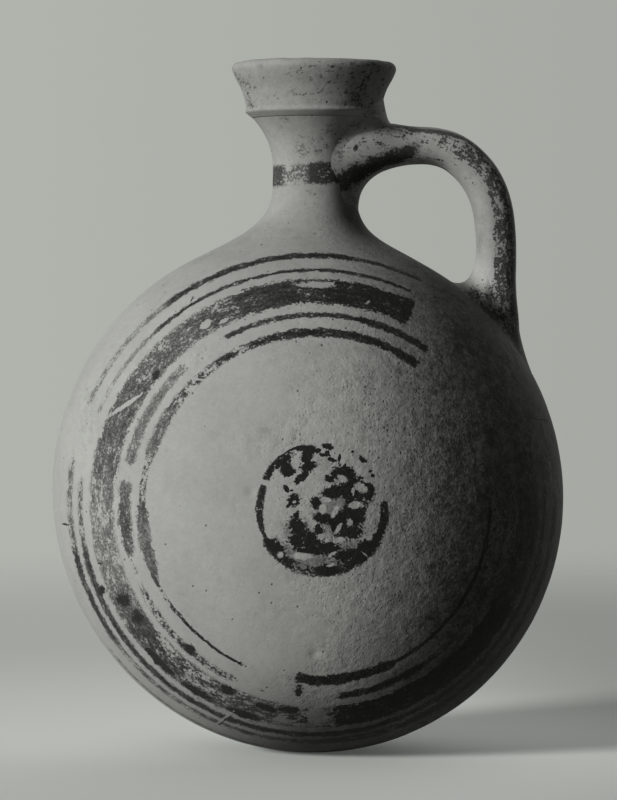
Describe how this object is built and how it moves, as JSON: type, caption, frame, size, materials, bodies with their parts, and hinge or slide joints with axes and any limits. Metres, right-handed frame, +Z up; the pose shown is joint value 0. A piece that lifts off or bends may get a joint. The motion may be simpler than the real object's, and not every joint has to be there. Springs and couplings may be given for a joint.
{
  "type": "ceramic jug",
  "caption": "Hand-made globular pottery jug with a waisted neck, a flared cup mouth, one strap handle and worn painted rings round a solid disc on its face.",
  "frame": {"origin": "middle of the part's bounding box, on the plane that the jug stands on", "axes": "+Z up through the mouth, +X towards the handle, -Y towards the painted face, which is the side that the picture shows"},
  "size_m": [0.1984, 0.178, 0.2671],
  "materials": {
    "painted_clay": "matt fired clay with worn dark painted bands",
    "raw_clay": "rough unpainted fired clay"
  },
  "bodies": {
    "root": {"body_front_half": "painted_clay", "body_back_half": "painted_clay", "body_seam_coil": "raw_clay", "neck": "painted_clay", "neck_base_coil": "painted_clay", "mouth": "painted_clay", "handle": "painted_clay", "handle_upper_pad": "painted_clay", "handle_lower_pad": "painted_clay"}
  },
  "joints": []
}
